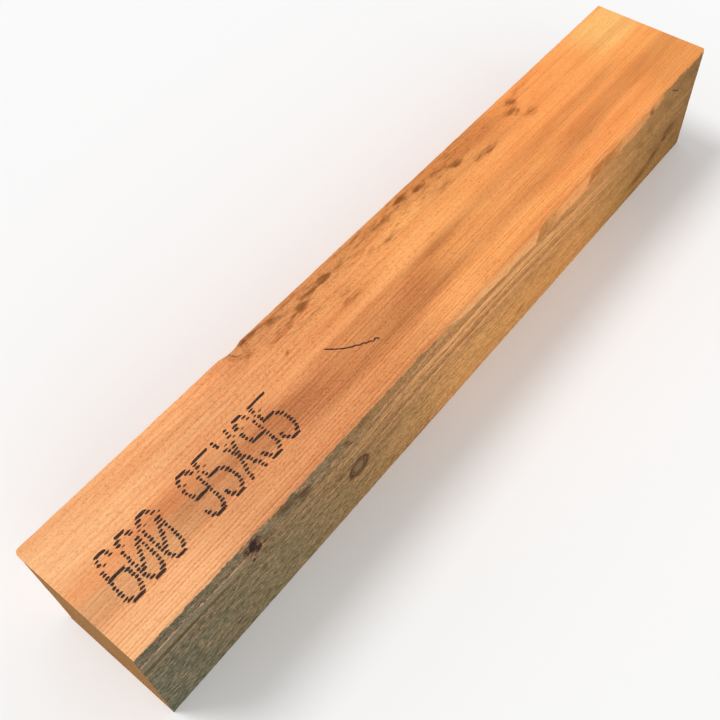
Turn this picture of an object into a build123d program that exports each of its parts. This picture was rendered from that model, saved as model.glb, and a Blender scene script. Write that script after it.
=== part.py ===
"""Square-sawn softwood timber, cut to a short length and lying flat.

Millimetres, +X along the grain, +Z up. The origin is the middle of the underside.
The near end is at -X, the left side at +Y and the right side at -Y.
Places along the timber are given as distances from the near end.
"""
import os
from math import atan2, cos, degrees, sin

from build123d import *

# Sawn size
length = 600.0
width = 95.0
height = 95.0

# Arrises
arris_radius = 0.8
end_chamfer = 0.5
corner_radius = 4.0

# Wane: place, depth into the top right arris along the top, drop down the side
wane_stations = (
    (20.0, 0.2, 5.0),
    (120.0, 0.6, 11.0),
    (230.0, 0.8, 15.0),
    (330.0, 1.0, 17.0),
    (430.0, 1.0, 17.0),
    (520.0, 0.7, 14.0),
    (590.0, 0.2, 5.0),
)
log_radius = 120.0

# Crescent bites in the wane: start, end, depth at the arris, drop down the side
bites = (
    (370.0, 412.0, 2.2, 18.0),
    (436.0, 490.0, 2.0, 17.0),
)
bite_steep = 0.13

# Dent where a knot lies on the top left arris
dent_place = 167.0
dent_length = 19.0
dent_depth = 1.6
dent_drop = 14.0

# Drying check in the right side, open at the near end
check_drop = 23.5
check_length = 88.0
check_opening = 4.2
check_depth = 2.4

# Sunken resin knot in the right side
resin_place = 86.0
resin_drop = 11.5
resin_length = 11.0
resin_height = 15.0
resin_depth = 1.3
resin_lean = -8.0

# How far each cutter reaches past the surface that it cuts
overlap = 1.5

near_end = -length / 2
left_side = width / 2
right_side = -width / 2


def along(place):
    """X of a place given as a distance from the near end."""
    return near_end + place


def wane_section(place, depth, drop):
    """One section of what is missing outside the log's skin, at one place along the timber."""
    past = 0.12
    top = (right_side + depth, height)
    foot = (right_side, height - drop)
    chord = (depth**2 + drop**2) ** 0.5
    bulge = min(chord**2 / (8 * log_radius), 0.2 * depth)
    middle = (
        (top[0] + foot[0]) / 2 - bulge * drop / chord,
        (top[1] + foot[1]) / 2 + bulge * depth / chord,
    )
    over_top = (top[0] + past * depth, top[1] + past * drop)
    under_foot = (foot[0] - past * depth, foot[1] - past * drop)
    with BuildSketch(Plane.YZ.offset(along(place))) as section:
        with BuildLine():
            ThreePointArc(top, middle, foot)
            Polyline(
                foot,
                under_foot,
                (right_side - 2 * overlap, under_foot[1]),
                (right_side - 2 * overlap, over_top[1]),
                over_top,
                top,
            )
        make_face()
    return section.sketch


def broken_arris(start, end, depth, drop, side, steep):
    """Cutter for a shell-shaped chip out of a top arris, deepest at the top and run out at its drop.

    Side is +1 for the left side and -1 for the right. Steep is the share of the chip's
    length in which it reaches its full depth.
    """
    lean = atan2(depth, drop)
    down_and_out = (0, side * sin(lean), -cos(lean))
    arris = Plane(
        origin=(along(start), side * width / 2, height),
        x_dir=(1, 0, 0),
        z_dir=down_and_out,
    )
    span = end - start
    inward = side * depth
    outward = -side * 2 * overlap
    with BuildPart() as cutter:
        with BuildSketch(arris.offset(-2 * overlap)):
            with BuildLine():
                Spline(
                    (0, 0),
                    (steep * span, 0.86 * inward),
                    (0.40 * span, inward),
                    (0.72 * span, 0.55 * inward),
                    (span, 0),
                )
                Polyline((span, 0), (span, outward), (0, outward), (0, 0))
            make_face()
        extrude(amount=1.4 * drop + 2 * overlap)
    return cutter.part


# Missing wood along the wane
with BuildPart() as wane:
    for station in wane_stations:
        add(wane_section(*station))
    loft()

# Drying check: a V that closes as it runs in from the near end
with BuildPart() as drying_check:
    for place, share in ((-overlap, 1.0), (0.55 * check_length, 0.7), (check_length, 0.06)):
        half_opening = share * check_opening / 2
        with BuildSketch(Plane.YZ.offset(along(place))):
            with Locations((right_side, height - check_drop - 0.03 * place)):
                Polygon(
                    (-overlap, half_opening * (1 + overlap / check_depth)),
                    (-overlap, -half_opening * (1 + overlap / check_depth)),
                    (share * check_depth, 0),
                    align=None,
                )
    loft(ruled=True)

# Sunken resin knot: a shallow oval pan
with BuildPart() as resin_knot:
    face = Plane(
        origin=(along(resin_place), right_side, height - resin_drop),
        x_dir=(1, 0, 0),
        z_dir=(0, -1, 0),
    ).rotated((0, 0, resin_lean))
    for rise, share in ((0.4, 1.0), (-resin_depth, 0.55)):
        with BuildSketch(face.offset(rise)):
            Ellipse(share * resin_length / 2, share * resin_height / 2)
    loft()

with BuildPart() as timber:
    # Square bar between its two saw cuts
    with BuildSketch(Plane.YZ.offset(near_end)):
        with Locations((0, height / 2)):
            Rectangle(width, height)
    extrude(amount=length)

    # Worn corner at the left of the near end
    upright = timber.edges().filter_by(Axis.Z)
    fillet(upright.sort_by(Axis.X)[:2].sort_by(Axis.Y)[-1], radius=corner_radius)

    # Long arrises, all but the one with the wane
    long_arrises = timber.edges().filter_by(Axis.X).sort_by(Axis.Z)
    eased = long_arrises[:2] + [long_arrises[2:].sort_by(Axis.Y)[-1]]
    fillet(eased, radius=arris_radius)

    # Far end's edges, left by the saw
    far_face = timber.faces().sort_by(Axis.X)[-1]
    chamfer(far_face.edges(), length=end_chamfer)

    # Wane and the bites broken out of it
    add(wane.part, mode=Mode.SUBTRACT)
    for bite in bites:
        add(broken_arris(*bite, side=-1, steep=bite_steep), mode=Mode.SUBTRACT)

    # Dent at the knot on the left arris
    add(
        broken_arris(
            dent_place - dent_length / 2,
            dent_place + dent_length / 2,
            dent_depth,
            dent_drop,
            side=1,
            steep=0.28,
        ),
        mode=Mode.SUBTRACT,
    )

    # Drying check and resin knot
    add(drying_check.part, mode=Mode.SUBTRACT)
    add(resin_knot.part, mode=Mode.SUBTRACT)

timber.part.label = "timber"

os.makedirs("parts", exist_ok=True)
export_step(timber.part, "parts/timber.step")
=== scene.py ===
"""Looks of a short length of square-sawn softwood timber, lying flat.

The timber is one closed skin around the same square section as the solid, with the grain,
the wane, the bites, the knots and the drying check in its mesh. Its colour comes from nodes
that read where the growth rings, the knots and the stains lie.

Places are in millimetres: along is measured from the near end, across from the left edge
of the top, up from the floor and drop down from the top on the right side.
"""

import itertools
import math
from functools import cache, cached_property

import bpy
import numpy as np
from mathutils import Matrix, Vector
from mathutils.bvhtree import BVHTree


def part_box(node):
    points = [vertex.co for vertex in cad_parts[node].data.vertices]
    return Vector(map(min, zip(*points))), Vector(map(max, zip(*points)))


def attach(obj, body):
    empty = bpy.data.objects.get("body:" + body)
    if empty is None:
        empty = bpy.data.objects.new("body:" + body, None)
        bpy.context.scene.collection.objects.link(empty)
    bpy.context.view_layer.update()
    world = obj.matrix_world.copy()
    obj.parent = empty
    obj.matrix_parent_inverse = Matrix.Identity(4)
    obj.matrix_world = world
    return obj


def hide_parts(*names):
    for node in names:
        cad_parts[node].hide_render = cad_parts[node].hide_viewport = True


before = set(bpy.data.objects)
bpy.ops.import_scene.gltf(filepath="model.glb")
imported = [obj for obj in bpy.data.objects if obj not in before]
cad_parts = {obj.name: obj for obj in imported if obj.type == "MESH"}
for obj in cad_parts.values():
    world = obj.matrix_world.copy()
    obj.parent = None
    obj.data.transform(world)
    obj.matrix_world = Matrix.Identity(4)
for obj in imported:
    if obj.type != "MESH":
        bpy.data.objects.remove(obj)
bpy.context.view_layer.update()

MM = 0.001

# The timber's box, read from the frame
node_low, node_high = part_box("timber")
LENGTH = round((node_high[0] - node_low[0]) / MM, 3)
WIDTH = round((node_high[1] - node_low[1]) / MM, 3)
HEIGHT = round((node_high[2] - node_low[2]) / MM, 3)

TOP, RIGHT, BOTTOM, LEFT, NEAR_END, FAR_END = range(6)

# Edges steeper than this, in degrees, are shaded sharp
SHARP_ANGLE = 38

# Arrises
ARRIS_RADIUS = 0.8
CORNER_RADIUS = 4

# Wane along the top right arris: along, depth in from the side, drop down the side
WANE = (
    (20, 0.2, 5),
    (120, 0.6, 11),
    (230, 0.8, 15),
    (330, 1, 17),
    (430, 1, 17),
    (520, 0.7, 14),
    (590, 0.2, 5),
)

# Bites in the wane: start, end, depth at the arris, drop down the side, weathered share
BITES = (
    (370, 412, 2.2, 18, 0.8),
    (436, 490, 2, 17, 1.05),
)

# Dent at the knot on the left arris: middle, length, depth, drop
DENT = (167, 19, 1.6, 14)

# Drying check in the right side, falling a little as it runs in from the near end
CHECK_DROP = 23.5
CHECK_FALL = 0.03
CHECK_LENGTH = 88
CHECK_OPENING = 4.2
CHECK_DEPTH = 2.4

# Short crack near the far end: along and drop of a point on its line, slope, where it is open
CRACK = (554, 10.4, 0.62)
CRACK_OPEN = (555, 568)

# Pith, outside the left side: across, up
PITH = (-12, 38)
RING_WIDTH = 2

# How far the grain lines bend down around the round knot: along, dip, reach before and after it
WHORL = (166, 6, 50, 34)

# Branches that leave the pith: along, where they reach the surface (across, up), radius there,
# how far the knot is sunk
KNOTS = {
    "arris_knot": (169.4, 4.2, 97, 5, 0.3),
    "round_knot": (173.6, 95, 43.7, 8.1, 0.35),
    "resin_knot": (86.3, 95, 85, 5.6, 1.3),
    "pin_knot": (522.5, 95, 86, 3, 0.4),
}

# What stands for out of reach: in radii of a knot, in openings of the check, in mm
FAR_IN_RADII = 4
FAR_IN_OPENINGS = 9
FAR_IN_MM = 99


# Number helpers

def smooth(start, stop, value):
    """0 at start, 1 at stop, eased between them. Start may be the larger."""
    share = np.clip((value - start) / (stop - start), 0, 1)
    return share * share * (3 - 2 * share)


def window(value, low, high, soft):
    """1 between low and high, falling to 0 over soft each side."""
    return smooth(low - soft, low + soft, value) * smooth(high + soft, high - soft, value)


def bell(value, middle, spread):
    """1 at the middle, falling away to both sides."""
    return np.exp(-(((value - middle) / spread) ** 2))


LATTICE_SIZE = 53
LATTICE = np.random.default_rng(8).random((LATTICE_SIZE,) * 3)


def noise(along, across, up, size, seed=0):
    """Smooth noise from -1 to 1, with cells of the given size in mm."""
    cells = [
        np.asarray(value, float) / length + 7.31 * (seed + axis)
        for axis, (value, length) in enumerate(zip((along, across, up), size))
    ]
    low = [np.floor(cell).astype(int) for cell in cells]
    part = [cell - floor for cell, floor in zip(cells, low)]
    part = [value * value * (3 - 2 * value) for value in part]
    total = 0
    for corner in itertools.product((0, 1), repeat=3):
        weight = 1
        for axis, step in enumerate(corner):
            weight = weight * (part[axis] if step else 1 - part[axis])
        index = tuple((low[axis] + step) % LATTICE_SIZE for axis, step in enumerate(corner))
        total = total + weight * LATTICE[index]
    return 2 * total - 1


def layered(along, across, up, size, seed=0, layers=3):
    """Noise with finer noise on top of it."""
    total = 0
    for layer in range(layers):
        finer = tuple(length / 2**layer for length in size)
        total = total + noise(along, across, up, finer, seed + 3 * layer) / 2**layer
    return total


# Scene helpers

def in_scene(along, across, up):
    """A place, or arrays of places, in the scene's metres."""
    return (along - LENGTH / 2) * MM, (WIDTH / 2 - across) * MM, up * MM


def add_object(name, data):
    """A new object in the scene."""
    made = bpy.data.objects.new(name, data)
    bpy.context.scene.collection.objects.link(made)
    return made


def add_mesh(name, points, faces):
    """A new object with a mesh of its own."""
    mesh = bpy.data.meshes.new(name)
    mesh.from_pydata(points, [], faces)
    mesh.update()
    return add_object(name, mesh)


def quads(before, here):
    """Faces between two closed loops of points."""
    turned = [*before[1:], before[0]], [*here[1:], here[0]]
    return list(zip(before, *turned, here))


# The skin's points

def steps(marks):
    """Positions from a list of (end, step) runs, starting at 0 and leaving out the last end."""
    found = []
    start = 0
    for end, step in marks:
        count = max(1, round((end - start) / step))
        found.extend(start + (end - start) * k / count for k in range(count))
        start = end
    return found


def with_arris(places, size):
    """Adds points close to both ends of a side, for its rounded arrises."""
    close = (0.25, 0.55)
    places = [v for v in places if v == 0 or ARRIS_RADIUS < v < size - ARRIS_RADIUS]
    return sorted(set(places) | set(close) | {size - v for v in close})


def section_points():
    """The square section as a closed loop: across, up and side of each point."""
    loop = []
    for place in with_arris(steps(((WIDTH, 1.15),)), WIDTH):
        loop.append((place, HEIGHT, TOP))
    for place in with_arris(steps(((32, 0.75), (HEIGHT, 1.35))), HEIGHT):
        loop.append((WIDTH, HEIGHT - place, RIGHT))
    for place in with_arris(steps(((WIDTH, 4),)), WIDTH):
        loop.append((WIDTH - place, 0, BOTTOM))
    for place in with_arris(steps(((HEIGHT, 2.6),)), HEIGHT):
        loop.append((0, place, LEFT))
    across, up, side = zip(*loop)
    return np.array(across), np.array(up), np.array(side)


def stations():
    """Places along the timber, closer together where the surface changes fast."""
    runs = ((6, 0.75), (270, 1.4), (366, 2.4), (500, 1.6), (594, 2.2), (LENGTH, 0.85))
    return np.array(steps(runs) + [LENGTH])


# Growth rings and knots

# How far the grain lines of the right side have sunk at places along it
DROOP_PLACES = (0, 230, 304, 354, 374, 404, 434, 494, 600)
DROOPS = (0, 0, 0, 1.5, 3.2, 6, 9, 13.5, 14)


def swerve(along, across, up):
    """How far the grain lines of the right side run lower than straight, in mm."""
    near_side = smooth(58, 90, across)
    below_top = smooth(94, 84, up)
    middle, dip, before, after = WHORL
    whorl = dip * bell(along, middle, np.where(along < middle, before, after))
    return (whorl + np.interp(along, DROOP_PLACES, DROOPS)) * near_side * below_top


def knot_distance(along, across, up, knot):
    """Distance from a branch's axis over the branch's radius there."""
    place, reach_across, reach_up, radius = knot[:4]
    axis = np.array([reach_across - PITH[0], reach_up - PITH[1]])
    reach = np.hypot(*axis)
    axis = axis / reach
    out = (across - PITH[0]) * axis[0] + (up - PITH[1]) * axis[1]
    off = (across - PITH[0]) * axis[1] - (up - PITH[1]) * axis[0]
    here = np.maximum(radius * np.clip(out / reach, 0.05, 1.2), 0.2)
    uneven = 1 + 0.1 * noise(along, across, up, (5, 5, 5), seed=11)
    distance = np.hypot(along - place, off) * uneven / here
    return np.where(out > 0.45 * reach, np.minimum(distance, FAR_IN_RADII), FAR_IN_RADII)


def knot_distances(along, across, up, side):
    """Each knot's distances. The arris knot ends a little way down the left side."""
    found = {name: knot_distance(along, across, up, knot) for name, knot in KNOTS.items()}
    ended = smooth(3, 12, HEIGHT - up) * (side == LEFT)
    found["arris_knot"] = np.minimum(found["arris_knot"] + 2 * ended, FAR_IN_RADII)
    return found


def ring_number(along, across, up):
    """Which growth ring a point is in, counted from the pith, with a fraction."""
    pith_across = PITH[0] + 2.5 * noise(along, 0, 0, (190, 1, 1), seed=1)
    pith_up = PITH[1] + 1.5 * noise(along, 0, 0, (230, 1, 1), seed=2)
    lifted = up + swerve(along, across, up)
    radius = np.hypot(across - pith_across, lifted - pith_up)
    radius = radius + 0.8 * noise(along, across, up, (120, 17, 17), seed=3)
    radius = radius + 0.22 * noise(along, across, up, (30, 6, 6), seed=4)
    for knot in KNOTS.values():
        distance = knot_distance(along, across, up, knot)
        radius = radius - 0.35 * knot[3] * np.exp(-np.maximum(distance - 1, 0) * 1.6)
    return radius / RING_WIDTH


# Forms of the right side and the left arris

def bite_outline(along, start, end):
    """1 where a bite is at its full depth, 0 outside it: steep at its start and long at its end."""
    share = (along - start) / (end - start)
    inside = (share > 0) & (share < 1)
    share = np.clip(share, 0, 1)
    return (1 - np.exp(-share / 0.05)) * smooth(1.05, 0.25, share) * inside


def wane_shift(along, drop):
    """How far the wane and its bites lie in from the right side, in mm."""
    places, depths, drops = zip(*WANE)
    depth = np.interp(along, places, depths, left=0, right=0)
    shift = depth * np.clip(1 - drop / np.interp(along, places, drops), 0, 1)
    for start, end, bite_depth, bite_drop, _ in BITES:
        outline = bite_outline(along, start, end)
        shift = np.maximum(shift, bite_depth * (outline - drop / bite_drop) * (outline > 0))
    return shift


def dent_shift(along, drop):
    """How far the dent at the left arris lies in from the left side, in mm."""
    middle, length, depth, dent_drop = DENT
    share = (along - middle) / (length / 2)
    return np.maximum(depth * (np.clip(1 - share**2, 0, 1) - drop / dent_drop), 0)


def check_width(along):
    """How wide open the drying check is, as a share of its opening at the near end."""
    return np.interp(along, (0, 0.55 * CHECK_LENGTH, CHECK_LENGTH), (1, 0.7, 0))


def check_share(along, drop):
    """How far a point lies from the drying check's middle, where its edges are at -1 and 1."""
    wander = 0.35 * noise(along, 0, 0, (14, 1, 1), seed=12)
    off = drop - CHECK_DROP - CHECK_FALL * along + wander
    return off / np.maximum(check_width(along) * CHECK_OPENING / 2, 0.05)


def check_profile(along, drop):
    """Depth of the drying check, in mm."""
    open_share = np.clip(1 - np.abs(check_share(along, drop)), 0, 1)
    return CHECK_DEPTH * check_width(along) * open_share


# Oval stains: along, across or drop, half length, half width, turn in degrees, strength

TOP_STAINS = (
    (192, 17.5, 10.4, 3.2, -3, 0.6),
    (207, 15.5, 13, 3, -14, 0.7),
    (219, 13.5, 8, 3.3, -8, 1.05),
    (201, 5.5, 11.7, 3.5, 6, 0.75),
    (187, 3, 13, 2.8, 0, 0.62),
    (181, 2.6, 8.5, 2.2, 0, 0.85),
    (170, 12, 6, 2, 0, 0.55),
    (231, 9, 9.1, 3, 0, 0.8),
    (245, 8.5, 8, 3, 3, 1),
    (260, 9, 10.4, 2.8, 0, 0.6),
    (188, 29.5, 2.6, 1.1, -30, 0.9),
    (225, 22, 28.6, 4.4, 0, 0.42),
    (245, 27, 9.1, 2.2, 0, 0.48),
    (246, 34, 15.6, 2.8, 0, 0.5),
    (283, 20, 9.1, 3, 0, 0.5),
    (299, 21.5, 7.8, 3.2, 0, 0.75),
    (307, 9, 15.6, 3.6, 0, 0.56),
    (288, 4, 20.8, 2.8, 0, 0.5),
    (331, 4.8, 7, 2.8, 0, 0.95),
    (346, 8.6, 7.6, 3, 0, 0.9),
    (367, 10, 12, 3.2, 0, 0.55),
    (382.5, 15.5, 6.5, 2.8, 14, 1),
    (383, 7, 20, 5, 0, 0.45),
    (360, 22, 10.4, 2.8, 0, 0.5),
    (398, 25, 9, 3, 8, 0.6),
    (410, 26, 10.4, 2.8, 2, 0.7),
    (459, 9.5, 7.8, 3.8, 0, 0.75),
    (451, 16, 9, 4.5, 20, 0.65),
    (459, 27.5, 8, 3.6, 0, 0.65),
    (470, 6, 20.8, 3.8, 0, 0.4),
    (310, 9, 150, 13, 0, 0.36),
    (27, 27, 5, 1.5, 0, 0.35),
    (473, 85, 3, 1.4, 0, 0.5),
)

SIDE_STAINS = (
    (113, 10.4, 11, 5, 10, 0.8),
    (126, 14.9, 9, 4, 26, 0.9),
    (153, 12.4, 4, 1.6, 0, 0.8),
    (164, 11.4, 3, 1.6, 40, 0.9),
    (167, 16.4, 3, 1.3, 40, 0.9),
    (183, 9.4, 12, 2, -10, 0.6),
    (106, 30.9, 12, 0.9, 2, 0.7),
    (140, 48.9, 16, 0.8, 2, 0.6),
    (206, 52.4, 12, 1, 0, 0.7),
    (228, 52.9, 6, 1, 0, 0.6),
    (289, 38.4, 15, 2.2, 2, 0.5),
    (357, 78.9, 7, 4, 0, 0.7),
    (516, 37.4, 10, 4.5, 35, 0.6),
    (529, 32.4, 8, 4, 50, 0.6),
    (523, 8.9, 5.5, 4, 0, 0.9),
    (529, 78.9, 18, 7, -8, 0.75),
    (547, 72.4, 15, 7, -24, 0.75),
    (563, 64.4, 4.5, 3.6, 0, 1),
    (566, 58.9, 3, 2.4, 0, 1),
    (571, 58.4, 12, 7.5, 8, 0.75),
    (583, 76.4, 8, 4, 0, 0.6),
    (578, 11.4, 32, 5.5, 4, 0.5),
    (552, 21.4, 16, 6, 40, 0.5),
)

RESIN_BLOTS = (
    (84.8, 14.2, 4, 5.2, 0, 1),
    (87.3, 19.2, 2.4, 4.8, -6, 1),
    (80.2, 13.2, 3.8, 5, 0, 0.66),
    (89, 12, 2.4, 2.2, 0, 0.75),
    (84.3, 23.8, 1.8, 1.3, -40, 0.85),
    (82.8, 27.6, 1.4, 2, 10, 0.85),
    (91.4, 31, 0.8, 4.6, -10, 0.62),
    (95.6, 20, 5.6, 1.8, 8, 0.66),
    (94.5, 23.4, 4, 0.9, 14, 0.5),
    (86.6, 15.5, 11, 8, 8, 0.42),
)

# Brown bands on the top: along from and to, across from and to, strength
TOP_BANDS = (
    (-20, 75, 40.5, 50, 0.1),
    (50, 160, 41, 52, 0.42),
    (-20, 70, 51, 70, 0.38),
    (60, 175, 50, 70, 0.62),
    (150, 300, 54, 76, 0.58),
    (180, 330, 45, 53.5, 0.45),
    (230, 480, 66.5, 77, 0.35),
    (290, 440, 54, 68, 0.16),
    (300, 545, 44, 53, 0.34),
    (440, 640, 58, 72, 0.42),
    (535, 640, 72, 99, 0.26),
    (160, 440, -4, 13, 0.42),
    (340, 440, 10, 27, 0.32),
    (90, 270, 12, 40, 0.2),
    (70, 265, 72, 99, 0.32),
    (-20, 640, 23, 25, 0.12),
)


def marks(along, other, table, seed, stray=1):
    """Strength of a table of oval marks, bent out of shape by noise."""
    far = stray * 2.4 * noise(along, other, 0, (7, 2.2, 1), seed=seed)
    wide = stray * noise(along, other, 0, (9, 2, 1), seed=seed + 1)
    found = np.zeros_like(along)
    for place, middle, half_length, half_width, turn, strength in table:
        turned = math.radians(turn)
        right = along + far - place
        down = other + wide - middle
        run = (right * math.cos(turned) + down * math.sin(turned)) / half_length
        rise = (down * math.cos(turned) - right * math.sin(turned)) / half_width
        found = np.maximum(found, strength * np.exp(-((run**2 + rise**2) ** 1.2) * 0.7))
    return found


def band_mask(along, across):
    """Brown bands that follow the grain on the top."""
    drift = 1.6 * noise(along, across, 0, (110, 9, 1), seed=23)
    rest = np.ones_like(along)
    for start, end, left, right, strength in TOP_BANDS:
        soft = min(4.2, 0.42 * (right - left))
        here = window(along, start, end, 26) * window(across + drift, left, right, soft)
        rest = rest * (1 - strength * here)
    return 1 - rest


def tone_mask(along, across):
    """Above 0 where the top is a deeper orange, below 0 where it is a paler yellow."""
    drift = 2.4 * noise(along, across, 0, (60, 9, 1), seed=25)
    deep = window(along, -40, 95, 26) * window(across + drift, 40, 52, 3.6)
    pale = smooth(520, 575, along) * window(across + drift, 3, 38, 6)
    return deep - pale


def lap(along):
    """How far the fresh wood of the top laps over the right arris, in mm."""
    places = (0, 50, 100, 250, 330, 366, 410, 440, 480, 550, 600)
    return np.interp(along, places, (0.9, 3, 3.8, 3.8, 4.8, 5.4, 4, 4.6, 3.8, 2.4, 1.4))


def strip_mask(along, drop):
    """The dirty mottled strip under the arris, from the near end to the clean wane."""
    lower = np.interp(along, (0, 45, 80, 140, 200, 264), (12, 15, 16.5, 19, 17, 9))
    lower = lower + 0.9 * noise(along, drop, 0, (9, 4, 1), seed=32)
    end = 252 + 12 * noise(along, drop, 0, (60, 2.6, 1), seed=33)
    return smooth(lower + 0.8, lower - 0.8, drop) * smooth(end + 4, end - 4, along)


def below_ridge(along, drop):
    """How far a point lies below the ridge of torn fibres along the foot of the strip, in mm."""
    places = (0, 40, 46, 82, 112, 165, 200, 225, 262)
    foot = np.interp(along, places, (13.4, 13.6, 15.8, 17.6, 15, 19, 16.5, 14.5, 8.5))
    return drop - foot - 0.5 * layered(along, 0, 0, (9, 1, 1), seed=36)


def across_crack(along, drop):
    """How far a point lies across the line of the short crack near the far end, in mm."""
    start_along, start_drop, slope = CRACK
    return ((drop - start_drop) - slope * (along - start_along)) / math.hypot(1, slope)


def clean_wane_mask(along, drop):
    """Smooth pale wood of the wane between and around the bites."""
    places = (256, 290, 366, 400, 433, 500, 560)
    lower = np.interp(along, places, (5, 13, 17, 17, 18, 15, 6))
    lower = lower + 1.4 * layered(along, drop, 0, (14, 4, 1), seed=34)
    return smooth(lower + 2, lower - 2, drop) * window(along, 268, 540, 13)


def bite_mask(along, drop):
    """Weathered wood inside the bites."""
    stray = along + 0.25 * drop + 1.8 * layered(along, drop, 0, (8, 3, 1), seed=37)
    low = drop + 1.5 * noise(along, drop, 0, (7, 5, 1), seed=38)
    found = np.zeros_like(along)
    for start, end, _, bite_drop, worn in BITES:
        share = (stray - start) / (end - start)
        fade = min(worn, 1) * smooth(0, 0.05, share) * smooth(0.95 * worn, 0.35 * worn, share)
        found = np.maximum(found, fade * smooth(bite_drop + 0.5, bite_drop - 2.5, low))
    return found


def grain_weight(along, across):
    """How strongly the growth rings show on the top: most at its right, near the near end."""
    from_left = np.interp(across, (0, 35, 60, 74), (0.24, 0.3, 0.52, 0.7))
    return from_left * np.interp(along, (0, 190, 330, LENGTH), (1, 1, 0.6, 0.5))


# Growth rings that the right side's saw cut followed: drop from and to, strength
LATE_LINES = (
    (12.8, 18.8, 0.5),
    (24.2, 24.7, 0.45),
    (26.4, 27.3, 0.85),
    (34, 37.8, 0.8),
    (42, 42.8, 0.5),
    (46, 46.5, 0.35),
    (50, 51, 0.4),
)
EARLY_LINES = (
    (19.6, 25.4, 1),
    (28.4, 31, 0.6),
    (39.5, 42, 0.7),
)


def terrace(along, across, up, drop):
    """Hollows where the saw followed a growth ring of the right side, in mm into the wood."""
    line = drop - swerve(along, across, up) + 0.8 * noise(along, drop, 0, (40, 8, 1), seed=35)
    depth = 0
    for high, low, strength in LATE_LINES:
        depth = depth + 0.4 * strength * window(line, high, low, 0.6)
    return depth * np.interp(along, (150, 280, 500, 560), (0.3, 1, 1, 0.3))


def relief(along, across, up, side, ring, knots):
    """Depth of the fine surface below the sawn plane, in mm and never under 0."""
    drop = HEIGHT - up
    late = ring - np.floor(ring)
    raised = smooth(0.35, 0.85, late) * smooth(1, 0.94, late)
    fibre = layered(along, across, up, (16, 1.3, 1.3), seed=41, layers=2)
    broad = noise(along, across, up, (60, 12, 12), seed=43)

    top = 0.1 - 0.04 * raised + 0.03 * fibre + 0.05 * broad
    plain = 0.22 - 0.08 * raised + 0.07 * fibre + 0.08 * broad
    rest = 0.12 - 0.05 * raised + 0.05 * fibre

    weathered = layered(along, drop, 0, (9, 1.7, 1), seed=44, layers=2)
    lumps = layered(along, drop, 0, (5, 3.4, 1), seed=45, layers=3)
    strip = strip_mask(along, drop)
    rough = plain + 0.05 * (1 + weathered) + strip * (0.35 + 0.32 * lumps)
    ridge = bell(below_ridge(along, drop), 0, 1.3) * smooth(98, 72, along)
    rough = rough - 0.3 * ridge + terrace(along, across, up, drop)
    rough = rough * (1 - 0.5 * clean_wane_mask(along, drop) * (1 - bite_mask(along, drop)))
    rough = rough + check_profile(along, drop)
    crack = smooth(1, 0.2, np.abs(across_crack(along, drop)))
    rough = rough + 0.6 * crack * window(along, *CRACK_OPEN, 1.5)

    depth = np.select(
        [side == TOP, side == RIGHT, side == BOTTOM, side == LEFT],
        [top, rough, rest, plain],
        default=0,
    )
    for name, knot in KNOTS.items():
        distance = knots[name]
        sunk = knot[4]
        groove = 0.35 * bell(distance, 1, 0.13)
        pan = sunk * smooth(1.02, 0.45, distance)
        lump = 0.25 * sunk * noise(along, across, up, (2.4, 2.4, 2.4), seed=47) * (distance < 1)
        depth = depth + np.where(side < NEAR_END, groove + pan + lump, 0)
    return np.maximum(depth, 0)


def rounded(first, second, inner_first, inner_second, radius):
    """Points drawn in to lie no further than a radius from their inner places."""
    off_first = first - inner_first
    off_second = second - inner_second
    scale = radius / np.maximum(np.hypot(off_first, off_second), radius)
    return inner_first + off_first * scale, inner_second + off_second * scale


def skin_positions(along, across, up, side, ring, knots):
    """Where each point of the sharp square bar goes."""
    radius = ARRIS_RADIUS * (1 + 0.35 * layered(along, across, up, (7, 60, 60), seed=51))
    radius = np.clip(radius, 0.3, 1.5)
    inner_across = np.clip(across, radius, WIDTH - radius)
    inner_up = np.clip(up, radius, HEIGHT - radius)
    new_across, new_up = rounded(across, up, inner_across, inner_up, radius)

    # Fine surface, fading out at the arrises
    depth = relief(along, across, up, side, ring, knots)
    flat_across = smooth(0, 1.6, np.minimum(across, WIDTH - across))
    flat_up = smooth(0, 1.6, np.minimum(up, HEIGHT - up))
    new_up = new_up - np.where(side == TOP, depth * flat_across, 0)
    new_up = new_up + np.where(side == BOTTOM, depth * flat_across, 0)
    new_across = new_across - np.where(side == RIGHT, depth * flat_up, 0)
    new_across = new_across + np.where(side == LEFT, depth * flat_up, 0)

    # Wane and bites, which also draw in the last of the top
    drop = np.where(side == TOP, 0, HEIGHT - up)
    near_arris = np.where(side == TOP, smooth(WIDTH - 14, WIDTH, across), side == RIGHT)
    ragged = 0.28 * (1 + layered(along, drop, 0, (5, 2.5, 1), seed=52))
    ragged = ragged * smooth(4, 0, drop)
    new_across = new_across - (wane_shift(along, drop) + ragged) * near_arris

    # Dent at the left arris
    near_left = np.where(side == TOP, smooth(10, 0, across), side == LEFT)
    new_across = new_across + dent_shift(along, drop) * near_left
    return new_across, new_up


def skin_faces(rows, count):
    """Quads between each row of points and the next."""
    loops = [range(row * count, (row + 1) * count) for row in range(rows)]
    return [face for before, here in zip(loops, loops[1:]) for face in quads(before, here)]


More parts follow.
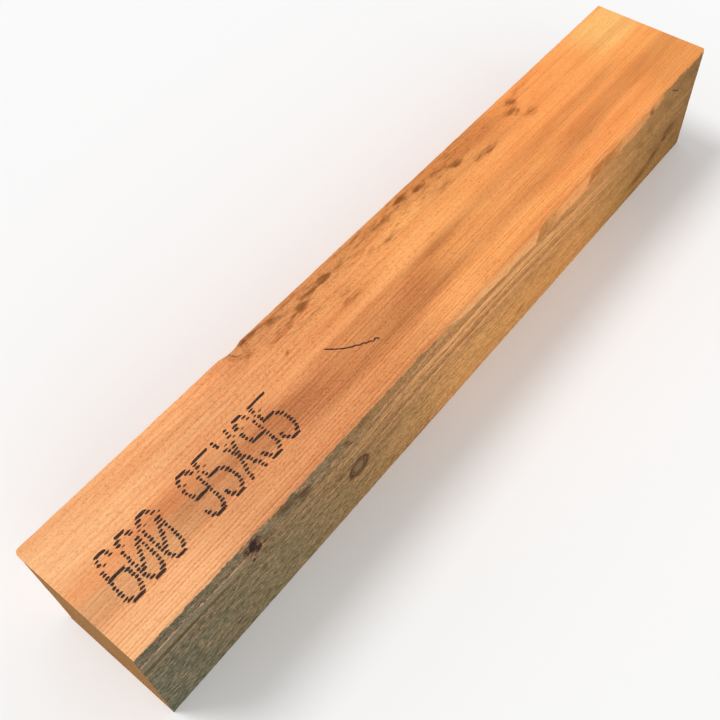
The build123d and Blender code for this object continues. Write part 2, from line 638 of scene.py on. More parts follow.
def end_cap(outline_across, outline_up, first, total, flip):
    """A sawn end: smaller and smaller copies of the outline, closed at the middle."""
    count = len(outline_across)
    across = []
    up = []
    faces = []
    before = np.arange(first, first + count)
    for share in 1 - np.linspace(0, 1, 13)[1:-1] ** 0.8:
        across.append(WIDTH / 2 + (outline_across - WIDTH / 2) * share)
        up.append(HEIGHT / 2 + (outline_up - HEIGHT / 2) * share)
        here = np.arange(total, total + count)
        total += count
        for k in range(count):
            after = (k + 1) % count
            faces.append((before[k], here[k], here[after], before[after]))
        before = here
    across.append(np.array([WIDTH / 2]))
    up.append(np.array([HEIGHT / 2]))
    for k in range(count):
        faces.append((before[k], total, before[(k + 1) % count]))
    if flip:
        faces = [face[::-1] for face in faces]
    return np.concatenate(across), np.concatenate(up), faces


def surface_values(along, across, up, side):
    """What the materials read at each point."""
    drop = HEIGHT - up
    on_right = (side == RIGHT).astype(float)
    on_top = (side == TOP).astype(float)
    clean = clean_wane_mask(along, drop) * (1 - bite_mask(along, drop))
    values = {
        "ring": ring_number(along, across, up),
        "below_arris": np.select(
            [side == RIGHT, side == TOP, side == BOTTOM],
            [drop - lap(along), across - WIDTH - lap(along), across - (WIDTH - 4)],
            default=-WIDTH,
        ),
        "grain": np.where(side == TOP, grain_weight(along, across), 0.7),
        "band": band_mask(along, across) * (on_top + on_right),
        "tone": tone_mask(along, across) * on_top,
        "stain": marks(along, across, TOP_STAINS, 21) * on_top,
        "side_stain": marks(along, drop, SIDE_STAINS, 24) * on_right,
        "resin": marks(along, drop, RESIN_BLOTS, 27, stray=0.35) * on_right,
        "strip": strip_mask(along, drop) * on_right,
        "ridge": np.where(side == RIGHT, below_ridge(along, drop), FAR_IN_MM),
        "crack": np.where(side == RIGHT, across_crack(along, drop), FAR_IN_MM),
        "clean": clean * on_right,
        "bite": bite_mask(along, drop) * on_right,
        "line": (drop - swerve(along, across, up)) * on_right,
        "groove": np.where(side == RIGHT, check_share(along, drop), FAR_IN_OPENINGS),
    }
    for name, distance in knot_distances(along, across, up, side).items():
        values[name] = np.where(side >= NEAR_END, FAR_IN_RADII, distance)
    return values


def make_timber():
    """The timber's closed mesh, with the places of its rings, knots and stains on its points."""
    loop_across, loop_up, loop_side = section_points()
    places = stations()
    count = len(loop_across)

    # Skin
    along = np.repeat(places, count)
    across = np.tile(loop_across, len(places))
    up = np.tile(loop_up, len(places))
    side = np.tile(loop_side, len(places))
    knots = knot_distances(along, across, up, side)
    ring = ring_number(along, across, up)
    across_now, up_now = skin_positions(along, across, up, side, ring, knots)
    faces = skin_faces(len(places), count)
    skin_count = len(faces)

    # Sawn ends
    flat = {"along": [along], "across": [across_now], "up": [up_now], "side": [side]}
    total = len(along)
    for end, first in ((NEAR_END, 0), (FAR_END, (len(places) - 1) * count)):
        outline = slice(first, first + count)
        cap_across, cap_up, cap_faces = end_cap(
            across_now[outline], up_now[outline], first, total, flip=end == FAR_END
        )
        faces = faces + cap_faces
        total += len(cap_across)
        flat["along"].append(np.full(len(cap_across), 0 if end == NEAR_END else LENGTH))
        flat["across"].append(cap_across)
        flat["up"].append(cap_up)
        flat["side"].append(np.full(len(cap_across), end))
    along, across, up, side = (np.concatenate(parts) for parts in flat.values())

    # Saw marks of the ends, and the worn upright corner at the left of the near end
    kerf = 0.12 + 0.06 * noise(0, across + 0.25 * up, up, (1, 2.6, 60), seed=61)
    kerf = kerf + 0.05 * noise(0, across, up, (1, 9, 9), seed=62)
    into = np.where(side == NEAR_END, kerf, 0) - np.where(side == FAR_END, kerf, 0)
    sawn = along + into
    inner = (np.maximum(value, CORNER_RADIUS) for value in (sawn, across))
    along_now, across_now = rounded(sawn, across, *inner, CORNER_RADIUS)

    points = np.stack(in_scene(along_now, across_now, up), axis=1)
    timber = add_mesh("sawn_timber", points.tolist(), faces)
    mesh = timber.data
    for name, numbers in surface_values(along, across, up, side).items():
        layer = mesh.attributes.new(name, "FLOAT", "POINT")
        layer.data.foreach_set("value", np.ascontiguousarray(numbers, dtype=np.float32))
    for polygon in mesh.polygons[skin_count:]:
        polygon.material_index = 1
    mesh.shade_smooth()
    mesh.set_sharp_from_angle(angle=math.radians(SHARP_ANGLE))
    return timber


# Node helpers

def linear(shade):
    """A linear colour from one given as 0 to 255 on a screen."""
    found = []
    for value in shade:
        value /= 255
        found.append(value / 12.92 if value <= 0.04045 else ((value + 0.055) / 1.055) ** 2.4)
    return (*found, 1)


class Graph:
    """Makes the nodes of a material or a world."""

    def __init__(self, owner):
        owner.use_nodes = True
        self.owner = owner
        self.nodes = owner.node_tree.nodes
        self.links = owner.node_tree.links
        self.normal = None

    def put(self, socket, value):
        """Links or sets a socket."""
        value = getattr(value, "output", value)
        if isinstance(value, bpy.types.NodeSocket):
            self.links.new(value, socket)
        else:
            socket.default_value = value

    def node(self, kind, output, inputs, **settings):
        """What one output of a new node gives."""
        made = self.nodes.new("ShaderNode" + kind)
        for name, value in settings.items():
            setattr(made, name, value)
        for name, value in inputs.items():
            self.put(made.inputs[name], value)
        return Value(self, made.outputs[output])

    @cached_property
    def place(self):
        """Where a point lies, in metres."""
        return self.node("TexCoord", "Object", {})

    @cached_property
    def share(self):
        """0 at the near end, 1 at the far end."""
        along = self.node("SeparateXYZ", "X", {0: self.place})
        return along.calc("MULTIPLY_ADD", 1 / (LENGTH * MM), 0.5)

    @cache
    def read(self, name):
        """A number kept on the mesh's points."""
        return self.node("Attribute", "Fac", {}, attribute_name=name)

    @cache
    def noise(self, name):
        """One of the noises of the table, around 0.5."""
        *size, detail, rough, shift, distortion = NOISES[name]
        scale = [1 / (length * MM) for length in size]
        inputs = {"Vector": self.place, "Scale": scale, "Location": (shift, shift, shift)}
        inputs = {"Vector": self.node("Mapping", "Vector", inputs), "Scale": 1}
        inputs.update({"Detail": detail, "Roughness": rough, "Distortion": distortion})
        return self.node("TexNoise", "Fac", inputs)

    def bump(self, height, distance, strength):
        """Raises the surface by a height over the bumps so far. Distance is in mm."""
        inputs = {"Height": height, "Distance": distance * MM, "Strength": strength}
        if self.normal:
            inputs["Normal"] = self.normal
        self.normal = self.node("Bump", "Normal", inputs)

    def finish(self, colour, roughness, specular=0.2):
        """The material, with its colour and bumps on the shader."""
        sockets = self.nodes["Principled BSDF"].inputs
        self.put(sockets["Base Color"], colour)
        self.put(sockets["Roughness"], roughness)
        self.put(sockets["Specular IOR Level"], specular)
        if self.normal:
            self.put(sockets["Normal"], self.normal)
        return self.owner


class Value:
    """A number or a colour that nodes work out at each point. Colours are built up in layers."""

    def __init__(self, graph, output):
        self.graph = graph
        self.output = output

    def calc(self, operation, *others, clamp=False):
        inputs = dict(enumerate((self, *others)))
        return self.graph.node("Math", 0, inputs, operation=operation, use_clamp=clamp)

    def __add__(self, other):
        return self.calc("ADD", other)

    def __sub__(self, other):
        return self.calc("SUBTRACT", other)

    def __mul__(self, other):
        return self.calc("MULTIPLY", other)

    def shifted(self, name, amount):
        """This number moved up and down by one of the noises."""
        return self + self.graph.noise(name).calc("MULTIPLY_ADD", amount, -0.5 * amount)

    def ease(self, low, high):
        """0 at low and 1 at high, eased between them. Low may be the larger."""
        inputs = {"Value": self, "From Min": low, "From Max": high}
        return self.graph.node("MapRange", "Result", inputs, interpolation_type="SMOOTHSTEP")

    def hump(self, middle, half):
        """1 at the middle, 0 at half away from it."""
        return (self - middle).calc("ABSOLUTE").ease(half, 0)

    def texture(self, kind, output):
        """A texture that changes with this number alone."""
        return self.graph.node(kind, output, {"W": self}, noise_dimensions="1D")

    def ramp(self, *stops):
        """A number or a colour for each value of this number from 0 to 1."""
        node = self.graph.nodes.new("ShaderNodeValToRGB")
        self.graph.put(node.inputs["Fac"], self)
        elements = node.color_ramp.elements
        while len(elements) < len(stops):
            elements.new(0.5)
        for element, (position, shade) in zip(elements, stops):
            element.position = position
            element.color = linear(shade) if isinstance(shade, tuple) else (shade, shade, shade, 1)
        return Value(self.graph, node.outputs["Color"])

    def cover(self, share, shade, blend="MIX"):
        """Lays a shade over this colour, as far as the share says."""
        shade = linear(shade) if isinstance(shade, tuple) else shade
        inputs = {"Factor": share, 6: self, 7: shade}
        mixed = self.graph.node("Mix", 2, inputs, data_type="RGBA", blend_type=blend)
        self.output = mixed.output

    def dim(self, share, shade):
        """Multiplies this colour by a shade, as far as the share says."""
        self.cover(share, shade, "MULTIPLY")


# Materials

# Noises: size of the cells along, across and up in mm, detail, roughness, shift, distortion
NOISES = {
    "ring_bends": (11, 1.7, 1.7, 2, 0.5, 0, 0),
    "cloud": (90, 16, 16, 3, 0.5, 7, 0),
    "streak": (150, 1.7, 1.7, 4, 0.62, 3, 0),
    "hair": (30, 0.6, 0.6, 3, 0.6, 5, 0),
    "grit": (1.6, 0.9, 0.9, 3, 0.75, 4, 0),
    "ragged": (50, 2.4, 2.4, 4, 0.6, 9, 0),
    "blotch": (8, 1.8, 1.8, 4, 0.62, 2, 0),
    "pore": (1.7, 1.3, 1.3, 1, 0.5, 6, 0),
    "line_bends": (26, 3, 3, 4, 0.5, 0, 0),
    "fleck": (4.4, 1, 1.1, 3, 0.75, 1, 0),
    "side_hair": (26, 1.4, 1.4, 3, 0.65, 8, 0),
    "side_grit": (1.3, 0.9, 1.1, 3, 0.75, 12, 0),
    "side_streak": (14, 1.8, 1.8, 3, 0.6, 19, 0),
    "lump": (4.4, 2.5, 2.5, 5, 0.68, 2, 1.1),
    "speck": (3, 1.5, 1.5, 2, 0.5, 15, 0),
    "mottle": (6, 3, 3, 3, 0.65, 21, 0),
    "patch": (9, 6, 6, 3, 0.6, 17, 0),
    "smudge": (6, 6, 6, 3, 0.6, 4, 0),
    "breaks": (4, 4, 4, 2, 0.5, 3, 0),
    "crumb": (1.8, 1.5, 1.5, 4, 0.7, 11, 0),
    "fibre": (5, 0.8, 0.8, 3, 0.6, 13, 0),
    "scallop": (9, 30, 30, 3, 0.7, 10, 0),
    "fine_pores": (3.5, 0.32, 0.32, 3, 0.65, 0, 0),
    "strip_crumbs": (3, 2, 2, 3, 0.6, 14, 0),
    "rays": (9, 0.5, 0.5, 3, 0.5, 0, 0),
    "end_cloud": (40, 18, 18, 2, 0.5, 0, 0),
    "saw": (9, 1.4, 40, 2, 0.5, 0, 0),
    "worn": (2.2, 0.5, 0.5, 3, 0.5, 0, 0),
}


@cache
def latewood(graph):
    """How much latewood shows: rises late in each ring and drops at its end."""
    number = graph.read("ring").shifted("ring_bends", 0.34)
    stops = ((0, 0), (0.45, 0.06), (0.74, 0.6), (0.88, 1), (0.95, 0.9), (1, 0.05))
    weight = number.calc("FLOOR").texture("TexWhiteNoise", "Value") * 0.75 + 0.35
    return number.calc("FRACT").ramp(*stops) * weight


def fresh_wood(graph):
    """Fresh sawn wood of the top, the left side and the underside."""
    share = graph.share
    wood = share.ramp(
        (0, (255, 195, 136)),
        (0.25, (255, 180, 119)),
        (0.55, (255, 179, 106)),
        (0.8, (255, 168, 95)),
        (1, (255, 174, 96)),
    )
    tone = graph.read("tone")
    wood.dim(tone.ease(0, 1) * 0.42, (240, 172, 110))
    wood.cover(tone.ease(0, -1) * 0.8, (255, 200, 120))
    calm = share.ramp((0, 0.6), (0.12, 0.85), (0.3, 1), (0.6, 0.75), (0.85, 0.5), (1, 0.45))
    wood.dim(graph.noise("cloud").ease(0.42, 0.66) * 0.5, (240, 220, 206))
    wood.dim(graph.noise("streak").ease(0.46, 0.66) * calm * 0.55, (240, 206, 182))
    grain = graph.read("grain")
    shown = latewood(graph) * grain
    wood.cover((grain - shown) * share.ease(0.45, 0.05) * 0.35, (255, 200, 154))
    wood.dim(shown, (218, 170, 142))
    wood.dim(graph.noise("hair").ease(0.5, 0.68) * calm * 0.5, (228, 194, 172))
    wood.dim(graph.noise("grit").ease(0.5, 0.66) * calm * 0.9, (220, 188, 166))
    wood.dim(graph.read("band") * (graph.noise("ragged") * 1.2 + 0.4), (180, 164, 152))
    stain = graph.read("stain").shifted("blotch", 1.6)
    wood.dim(stain.ease(0.16, 1), (168, 149, 116))
    wood.dim(graph.noise("pore").ease(0.76, 0.82) * 0.85, (130, 118, 110))
    return wood


def growth_lines(line, table):
    """Where a table of growth rings shows on the right side."""
    reach = 70
    soft = 0.5
    stops = []
    for high, low, strength in table:
        edges = ((high - soft, 0), (high, strength), (low, strength), (low + soft, 0))
        stops.extend((drop / reach, shown) for drop, shown in edges)
    return line.calc("DIVIDE", reach, clamp=True).ramp(*stops)


def weathered_wood(graph):
    """Weathered right side: grey-green at the near end, ochre, then brown, with painted light: its
    upper part is dimmed a little so that its lower part reads lighter.
    """
    share = graph.share
    wood = share.ramp(
        (0, (112, 116, 93)),
        (0.2, (153, 134, 95)),
        (0.3, (176, 141, 92)),
        (0.47, (236, 171, 101)),
        (0.72, (238, 168, 94)),
        (0.85, (192, 140, 73)),
        (1, (160, 116, 56)),
    )
    wood.dim(latewood(graph) * 0.3, (190, 176, 160))
    # Painted light: the upper part of the side is dimmed a little, so that its lower part near the
    # floor, which gets less light, reads lighter.
    wood.dim(graph.read("line").ease(66, 44), (243, 243, 246))

    # Growth rings that the saw cut followed, clearest halfway along
    line = graph.read("line").shifted("line_bends", 1.8)
    clear = share.ramp(
        (0.02, 0.05), (0.18, 0.15), (0.28, 0.45), (0.42, 1), (0.58, 0.9), (0.7, 0.5), (0.9, 0.1)
    )
    bright = share.ramp(
        (0.2, 0.1), (0.36, 0.35), (0.46, 0.9), (0.58, 0.9), (0.68, 0.5), (0.85, 0.1)
    )
    early = growth_lines(line, EARLY_LINES) * bright
    late = growth_lines(line, LATE_LINES) * clear
    wood.cover(early * 0.7, (255, 184, 116))
    wood.dim(late * 0.9, (190, 168, 124))
    fine = line.calc("DIVIDE", 1.9).texture("TexNoise", "Fac")
    upper = clear * line.ease(58, 40)
    wood.dim(fine.ease(0.52, 0.64) * upper * 0.8, (188, 164, 128))
    wood.cover(fine.ease(0.48, 0.38) * upper * 0.6, (255, 186, 130))

    # Short pale and dark flecks of torn fibres, strongest at the near end
    strong = share.ramp((0, 0.8), (0.28, 0.72), (0.5, 0.5), (0.75, 0.35), (1, 0.45))
    fleck = graph.noise("fleck")
    pale = share.ramp(
        (0, (212, 170, 136)),
        (0.3, (222, 170, 118)),
        (0.5, (255, 200, 136)),
        (0.8, (246, 184, 122)),
        (1, (198, 150, 96)),
    )
    wood.cover(fleck.ease(0.52, 0.64) * strong * 0.8, pale)
    wood.dim(fleck.ease(0.5, 0.38) * strong, (158, 154, 132))
    wood.dim(graph.noise("side_hair").ease(0.5, 0.66) * 0.65, (186, 174, 154))
    wood.dim(graph.noise("side_grit").ease(0.5, 0.64) * strong, (176, 164, 140))
    wood.cover(early * graph.noise("side_streak").ease(0.38, 0.58) * 0.75, (255, 186, 119))
    return wood


def dirty_strip(graph, wood):
    """Mottled strip under the right arris, with torn fibres along its foot."""
    share = graph.share
    strip = graph.read("strip")
    lump = graph.noise("lump")
    tones = lump.ramp(
        (0.34, (40, 52, 50)),
        (0.43, (94, 96, 76)),
        (0.51, (138, 122, 90)),
        (0.58, (176, 142, 104)),
        (0.66, (228, 180, 144)),
    )
    tones.dim(share.ease(0.16, 0.02), (218, 228, 230))
    tones.cover(share.ease(0.2, 0.36) * 0.75, (180, 126, 64))
    tones.dim(graph.noise("side_grit").ease(0.52, 0.62) * 0.7, (150, 148, 130))
    tones.cover(0.3, wood)
    wood.cover(strip * 0.85, tones)
    speck = graph.noise("speck")
    wood.cover(speck.ease(0.63, 0.72) * strip * 0.85, (52, 66, 68))
    wood.cover(speck.ease(0.36, 0.28) * strip * 0.7, (176, 112, 82))
    ridge = graph.read("ridge").shifted("fleck", 3)
    under = ridge.ease(0.2, 1.4) * ridge.ease(8, 6) * share.ease(0.15, 0.1)
    wood.cover(under * 0.5, (138, 130, 108))
    shown = share.ramp((0.12, 1), (0.16, 0), (0.22, 0.5), (0.42, 0.9), (0.445, 0))
    wood.cover(ridge.hump(0, 1.3) * shown * lump.ease(0.4, 0.54), (228, 170, 130))


def side_stains(graph, wood):
    """Brown stains of the right side, and its short crack near the far end."""
    brown = graph.read("side_stain").shifted("fleck", 1.3)
    wood.dim(brown.ease(0.2, 1) * 0.95, (172, 138, 94))
    crack = graph.read("crack").shifted("lump", 1.2).hump(0, 1)
    shown = graph.share.ramp((0.92, 0), (0.926, 1), (0.942, 1), (0.95, 0))
    wood.cover(crack * shown * 0.9, (62, 48, 48))


def clean_wane(graph, wood):
    """Smooth pale wood of the wane, and the weathered bites in it."""
    sappy = graph.share.ramp(
        (0.45, (255, 193, 130)),
        (0.6, (255, 185, 118)),
        (0.72, (255, 176, 106)),
        (0.86, (228, 158, 90)),
    )
    sappy.dim(graph.noise("side_grit").ease(0.48, 0.64) * 0.5, (224, 186, 156))
    sappy.dim(graph.noise("mottle").ease(0.46, 0.62) * 0.7, (246, 216, 194))
    clean = graph.read("clean").shifted("fleck", 1.1)
    wood.cover(clean.ease(0.2, 0.9) * 0.92, sappy)
    bite = graph.read("bite")
    wood.cover(bite * 0.5, sappy)
    wood.dim(bite * graph.noise("patch").ease(0.85, 0.45), (216, 201, 165))


def arris_knot(graph, wood):
    """Orange knot on the left arris, with a broken brown outline."""
    smudge = graph.noise("smudge")
    distance = graph.read("arris_knot").shifted("fibre", 0.4).shifted("smudge", 0.8)
    wood.dim(distance.hump(1.5, 0.5) * 0.5, (200, 174, 138))
    wood.cover(distance.ease(0.95, 0.6) * 0.6, (218, 144, 82))
    broken = smudge.ease(0.4, 0.6)
    outer = distance.hump(0.95, 0.34) * (broken * 0.6 + 0.4)
    inner = distance.hump(0.5, 0.22) * broken * 0.6
    wood.cover(outer.calc("MAXIMUM", inner) * 0.8, (108, 78, 44))


def round_knot(graph, wood):
    """Round knot in the right side: two dark rings around a grey middle."""
    distance = graph.read("round_knot").shifted("fibre", 0.42)
    broken = graph.noise("breaks") * 1.2 + 0.4
    wood.dim(distance.ease(1.6, 0.9) * 0.7, (196, 172, 142))
    wood.cover(distance.ease(1.05, 0.92) * 0.7, (150, 112, 68))
    wood.cover(distance.ease(0.66, 0.5) * broken * 0.6, (126, 108, 76))
    outer = distance.hump(0.94, 0.3) * broken
    inner = distance.hump(0.64, 0.2) * broken * 0.85
    wood.cover(outer.calc("MAXIMUM", inner, clamp=True), (86, 54, 32))


def resin_knot(graph, wood):
    """Ragged near-black blot of resin, with a brown edge."""
    spread = graph.read("resin").shifted("crumb", 1.7).shifted("fibre", 0.8)
    wood.cover(spread.ease(0.22, 0.5) * 0.65, (112, 70, 40))
    wood.cover(spread.ease(0.46, 0.72) * 0.97, (46, 25, 20))


def pin_knot(graph, wood):
    """Small soft brown knot in the right side, near the far end."""
    distance = graph.read("pin_knot").shifted("fibre", 0.9)
    wood.dim(distance.ease(1.5, 0.4) * 0.8, (160, 128, 92))


def drying_check(graph, wood):
    """Painted shade over the drying check, a little wider than its groove, and a pale lip along its
    lower edge.
    """
    share = graph.share
    groove = graph.read("groove").shifted("fibre", 0.5).calc("ABSOLUTE")
    # Painted shade: dark olive over the check's groove and a little beyond its edges, near the near
    # end.
    wood.cover(groove.ease(1.3, 0.95) * share.ease(0.15, 0.12) * 0.8, (102, 91, 60))
    lip = graph.read("groove").shifted("fibre", 1).hump(1.9, 0.7)
    lip = lip * share.ease(0.14, 0.1) * graph.noise("scallop").ease(0.4, 0.5)
    wood.cover(lip * 0.45, (182, 156, 130))


def long_grain():
    """Sawn faces along the grain: fresh on the top, weathered on the right side."""
    graph = Graph(bpy.data.materials.new("sawn_softwood"))
    weathered = weathered_wood(graph)
    for paint in (dirty_strip, side_stains, clean_wane):
        paint(graph, weathered)
    on_right = graph.read("below_arris").shifted("scallop", 8).ease(0.6, 1.1)
    surface = fresh_wood(graph)
    surface.cover(on_right, weathered)
    for paint in (arris_knot, round_knot, resin_knot, pin_knot, drying_check):
        paint(graph, surface)

    graph.bump(graph.noise("fine_pores"), 0.3, 0.45)
    graph.bump(latewood(graph) * graph.read("grain"), 0.1, 0.6)
    graph.bump(graph.noise("fleck") * on_right, 0.9, 0.7)
    graph.bump(graph.noise("strip_crumbs") * graph.read("strip"), 0.9, 0.8)
    return graph.finish(surface, 0.78)


def end_grain():
    """Sawn ends: growth rings across the section, with the saw's marks."""
    graph = Graph(bpy.data.materials.new("sawn_end_grain"))
    wood = Value(graph, linear((184, 130, 62)))
    wood.cover(graph.noise("end_cloud").ease(0.38, 0.62), (172, 122, 56))
    years = graph.read("ring").calc("DIVIDE", 2.6).texture("TexNoise", "Fac")
    wood.dim(years.ease(0.45, 0.62) * 0.8, (206, 188, 160))
    wood.dim(latewood(graph) * 0.9, (160, 134, 104))
    rays = graph.noise("rays")
    wood.dim(rays.ease(0.45, 0.75) * 0.5, (176, 160, 130))
    graph.bump(graph.noise("saw"), 0.5, 0.5)
    graph.bump(rays, 0.25, 0.6)
    return graph.finish(wood, 0.85)


def ink():
    """Dark printing ink that has sunk a little into the fibres."""
    graph = Graph(bpy.data.materials.new("printing_ink"))
    worn = graph.noise("worn")
    shade = Value(graph, linear((34, 24, 24)))
    shade.cover(worn.ease(0.42, 0.7), (84, 58, 42))
    graph.bump(worn, 0.1, 0.5)
    return graph.finish(shade, 0.7)


# Size mark

MARK_ROWS = 16
MARK_START = 19.2
MARK_TOP = 38
MARK_HEIGHT = 34.2
GLYPH_WIDTH = 13.4
GLYPH_STEP = 15.3
GLYPH_SLANT = 1.7
DASH_LENGTH = 3.1
DASH_THICKNESS = 1.95
DASH_POINTS = 16
SLIPPED_ROW = 3
SLIP = 3
STROKE_STEPS = 60

# Ink: how far its top stands above the wood and its foot lies below, in mm
INK_RISE = 0.05
INK_SUNK = 0.12


def bow(middle_u, middle_v, radius_u, radius_v, start, end):
    """Points of an oval arc in a glyph's box, angles in degrees clockwise from the right."""
    points = []
    for k in range(STROKE_STEPS + 1):
        angle = math.radians(start + (end - start) * k / STROKE_STEPS)
        points.append((middle_u + radius_u * math.cos(angle), middle_v + radius_v * math.sin(angle)))
    return points


def stroke(*corners):
    """Points of straight strokes in a glyph's box."""
    points = []
    for (u0, v0), (u1, v1) in zip(corners, corners[1:]):
        for k in range(STROKE_STEPS + 1):
            points.append((u0 + (u1 - u0) * k / STROKE_STEPS, v0 + (v1 - v0) * k / STROKE_STEPS))
    return points


CROWN = bow(0.5, 0.26, 0.42, 0.26, 180, 360)
FOOT = bow(0.5, 0.74, 0.42, 0.26, 0, 160)
BACK = stroke((0.92, 0.26), (0.92, 0.74))

# Strokes of each character in a box 1 wide and 1 high, from its top left
GLYPHS = {
    "0": (
        CROWN,
        BACK,
        bow(0.5, 0.74, 0.42, 0.26, 0, 180),
        stroke((0.08, 0.26), (0.08, 0.74)),
        stroke((0.22, 0.76), (0.84, 0.26)),
    ),
    "5": (
        stroke((0.94, 0), (0, 0), (0.1, 0.1), (0.1, 0.4), (0.62, 0.4)),
        bow(0.5, 0.66, 0.42, 0.26, 300, 360),
        stroke((0.92, 0.66), (0.92, 0.74)),
        FOOT,
    ),
    "6": (
        bow(0.55, 0.22, 0.36, 0.22, 340, 180),
        stroke((0.19, 0.22), (0.05, 0.76)),
        bow(0.5, 0.76, 0.45, 0.24, 180, 0),
        stroke((0.95, 0.76), (0.95, 0.56), (0.8, 0.48), (0.1, 0.48)),
    ),
    "9": (
        CROWN,
        stroke((0.08, 0.26), (0.12, 0.42), (0.26, 0.53), (0.82, 0.53)),
        BACK,
        FOOT,
    ),
    "X": (
        stroke((0.1, 0), (0.14, 0.1), (0.86, 0.9), (0.9, 1)),
        stroke((0.9, 0), (0.86, 0.1), (0.14, 0.9), (0.1, 1)),
    ),
}


def row_runs(points):
    """Runs of a stroke that share a printed row, as (row, from, to) in the glyph's box."""
    found = []
    for row, run in itertools.groupby(points, key=lambda point: round(point[1] * (MARK_ROWS - 1))):
        places = [u for u, v in run]
        found.append((row, min(places), max(places)))
    return found


def dashes(text):
    """Each printed dash as (from, to, across, thickness), in mm on the top."""
    spread = np.random.default_rng(5)
    printed = []
    for number, character in enumerate(text):
        left = MARK_START + number * GLYPH_STEP
        strokes = GLYPHS.get(character, ())
        for row, low, high in sorted({run for points in strokes for run in row_runs(points)}):
            slipped = row == SLIPPED_ROW
            half = DASH_LENGTH / 2 * spread.uniform(0.7, 1.15) * (0.8 if slipped else 1)
            lean = GLYPH_SLANT * (0.5 - row / (MARK_ROWS - 1)) + (SLIP if slipped else 0)
            lean += spread.uniform(-0.35, 0.35)
            across = MARK_TOP + row * MARK_HEIGHT / (MARK_ROWS - 1) + spread.uniform(-0.22, 0.22)
            thickness = DASH_THICKNESS * spread.uniform(0.72, 1.08) * (0.5 if slipped else 1)
            if high - low > 0.3:
                thickness = 1.1 * DASH_THICKNESS
            start = left + low * GLYPH_WIDTH + lean - half
            end = left + high * GLYPH_WIDTH + lean + half
            printed.append((start, end, across, thickness))
    return printed


def dash_outline(start, end, across, thickness, spread):
    """A dash with drawn-out uneven ends, as points round it."""
    half_length = (end - start) / 2
    half_width = thickness / 2
    middle = (start + end) / 2
    fullness = 1 if half_length < DASH_LENGTH else 0.55
    outline = []
    for k in range(DASH_POINTS):
        angle = -2 * math.pi * k / DASH_POINTS
        u = math.copysign(abs(math.cos(angle)) ** fullness, math.cos(angle))
        v = math.copysign(abs(math.sin(angle)) ** fullness, math.sin(angle))
        rough = 1 + spread.uniform(-0.26, 0.16)
        outline.append((middle + half_length * u * rough, across + half_width * v * rough))
    return outline


def surface_height(tree, along, across):
    """Height of the timber's mesh above the floor at a place on the top."""
    start = Vector(in_scene(along, across, 2 * HEIGHT))
    hit = tree.ray_cast(start, Vector((0, 0, -1)))
    return hit[0].z / MM


def film(name, outlines, tree):
    """Thin closed patches of ink that lie on the top, one for each outline."""
    points = []
    faces = []
    for outline in outlines:
        middle = np.mean(outline, axis=0)
        loops = []
        for share, lift in ((1, -INK_SUNK), (1, 0.4 * INK_RISE), (0.8, INK_RISE)):
            loops.append(range(len(points), len(points) + len(outline)))
            for corner in outline:
                along, across = middle + (np.array(corner) - middle) * share
                up = min(surface_height(tree, along, across) + lift, HEIGHT)
                points.append(in_scene(along, across, up))
        foot, rim, top = loops
        faces.extend(quads(foot, rim) + quads(rim, top))
        faces.extend((tuple(reversed(foot)), tuple(top)))
    return add_mesh(name, points, faces)


def make_size_mark(tree):
    """The timber's own size in plain dashed figures, as a sawmill's printer sets it."""
    text = f"{LENGTH:.0f} {WIDTH:.0f}X{HEIGHT:.0f}"
    spread = np.random.default_rng(6)
    return film("size_mark", [dash_outline(*dash, spread) for dash in dashes(text)], tree)


# Pen stroke on the top: along, across
PEN_LINE = (
    (203, 46),
    (206.5, 50.6),
    (211, 55.6),
    (215.5, 58.8),
    (219, 61.2),
    (223, 63.6),
    (226, 65.8),
    (228, 65.6),
    (230, 67.4),
)
PEN_WIDTH = 1
PEN_JERK = 0.35
PEN_POINTS = 46


def make_pen_line(tree):
    """A thin dark stroke, even at first and then in small jerks."""
    spread = np.random.default_rng(9)
    bends = np.array(PEN_LINE)
    reach = np.concatenate([[0], np.cumsum(np.hypot(*np.diff(bends, axis=0).T))])
    at = np.linspace(0, reach[-1], PEN_POINTS)
    along = np.interp(at, reach, bends[:, 0])
    across = np.interp(at, reach, bends[:, 1])
    jerk = PEN_JERK * smooth(0.35 * reach[-1], 0.6 * reach[-1], at)
    across = across + jerk * np.where(np.arange(PEN_POINTS) // 3 % 2, 1, -1)
    centre = np.stack([along, across], axis=1)
    run = np.gradient(centre, axis=0)
    run /= np.hypot(*run.T)[:, None]
    off = np.stack([-run[:, 1], run[:, 0]], axis=1) * PEN_WIDTH / 2
    off = off * (1 + spread.uniform(-0.15, 0.15, PEN_POINTS))[:, None]
    left = centre + off
    right = centre - off
    outlines = [(left[k], right[k], right[k + 1], left[k + 1]) for k in range(PEN_POINTS - 1)]
    return film("pen_line", outlines, tree)


# Assembly

timber = make_timber()
timber.data.materials.append(long_grain())
timber.data.materials.append(end_grain())
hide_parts("timber")
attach(timber, "root")

skin = BVHTree.FromObject(timber, bpy.context.evaluated_depsgraph_get())
printing = ink()
for mark in (make_size_mark(skin), make_pen_line(skin)):
    mark.data.materials.append(printing)
    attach(mark, "root")

# Floor
FLOOR_REACH = 6
corners = [(x * FLOOR_REACH, y * FLOOR_REACH, 0) for x, y in ((-1, -1), (1, -1), (1, 1), (-1, 1))]
floor = add_mesh("floor", corners, [(0, 1, 2, 3)])
floor_paint = Graph(bpy.data.materials.new("floor_paint"))
floor.data.materials.append(floor_paint.finish((0.92, 0.92, 0.92, 1), 0.9, specular=0))

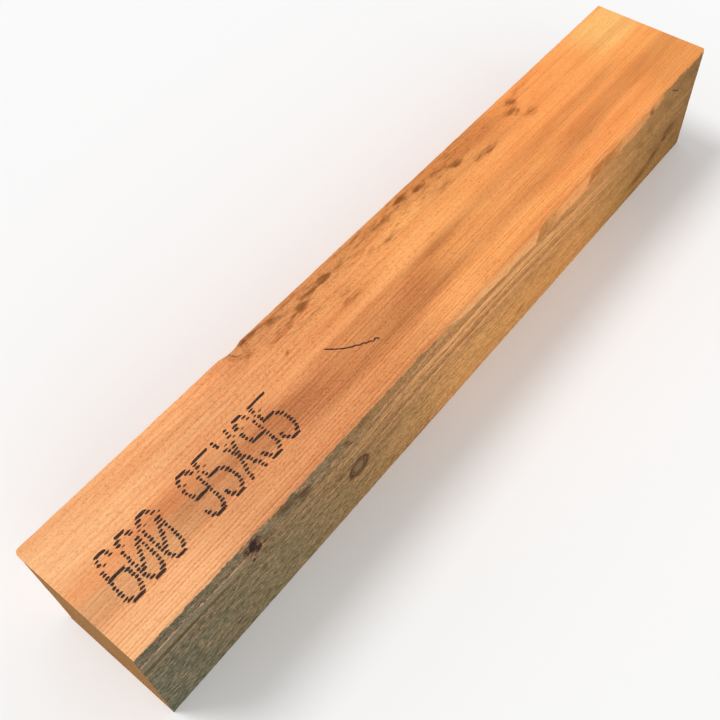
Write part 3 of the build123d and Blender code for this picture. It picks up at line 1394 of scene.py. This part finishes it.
# World: an even pale sky, plain white behind the object and in its gloss
SKY_LIGHT = 0.56
studio = Graph(bpy.data.worlds.new("studio"))
bpy.context.scene.world = studio.owner
seen = studio.node("LightPath", "Is Camera Ray", {})
for kind in ("Is Glossy Ray", "Is Transmission Ray"):
    seen = seen.calc("MAXIMUM", studio.node("LightPath", kind, {}))
level = studio.node("MapRange", "Result", {"Value": seen, "To Min": SKY_LIGHT, "To Max": 1})
sky = studio.nodes["Background"]
studio.put(sky.inputs["Color"], (1, 1, 1, 1))
studio.put(sky.inputs["Strength"], level)

# Soft suns: energy, width in degrees, direction of travel
SUNS = {
    "key": (1.3, 22, (0.25, -0.45, -0.85)),
    "fill": (0.7, 50, (0.3, 0.75, -0.55)),
}
for name, (energy, width, direction) in SUNS.items():
    light = bpy.data.lights.new(name, "SUN")
    light.energy = energy
    light.angle = math.radians(width)
    lamp = add_object(name, light)
    lamp.rotation_euler = Vector(direction).to_track_quat("-Z", "Y").to_euler()

# Camera, at the photograph's angle. Its turn is from +X, its tilt downwards, in degrees.
# Its place is from the near end, the right side and the floor, and its focal length in pixels.
CAMERA_PLACE = (-26.8 - LENGTH / 2, -291.7 + WIDTH / 2, 557)
CAMERA_TURN = 41.37
CAMERA_TILT = 54.92
CAMERA_ROLL = 3.33
CAMERA_FOCAL = 934.5
CAMERA_MIDDLE = 378
IMAGE_SIZE = 720
aim = (
    Matrix.Rotation(math.radians(CAMERA_TURN - 90), 4, "Z")
    @ Matrix.Rotation(math.radians(90 - CAMERA_TILT), 4, "X")
    @ Matrix.Rotation(math.radians(-CAMERA_ROLL), 4, "Z")
)
camera_data = bpy.data.cameras.new("camera")
camera_data.sensor_width = 36
camera_data.lens = CAMERA_FOCAL / IMAGE_SIZE * camera_data.sensor_width
camera_data.shift_x = 0.5 - CAMERA_MIDDLE / IMAGE_SIZE
camera_data.clip_start = 0.01
camera = add_object("camera", camera_data)
camera.matrix_world = Matrix.Translation(Vector(CAMERA_PLACE) * MM) @ aim
bpy.context.scene.camera = camera

bpy.context.scene.view_settings.view_transform = "Standard"
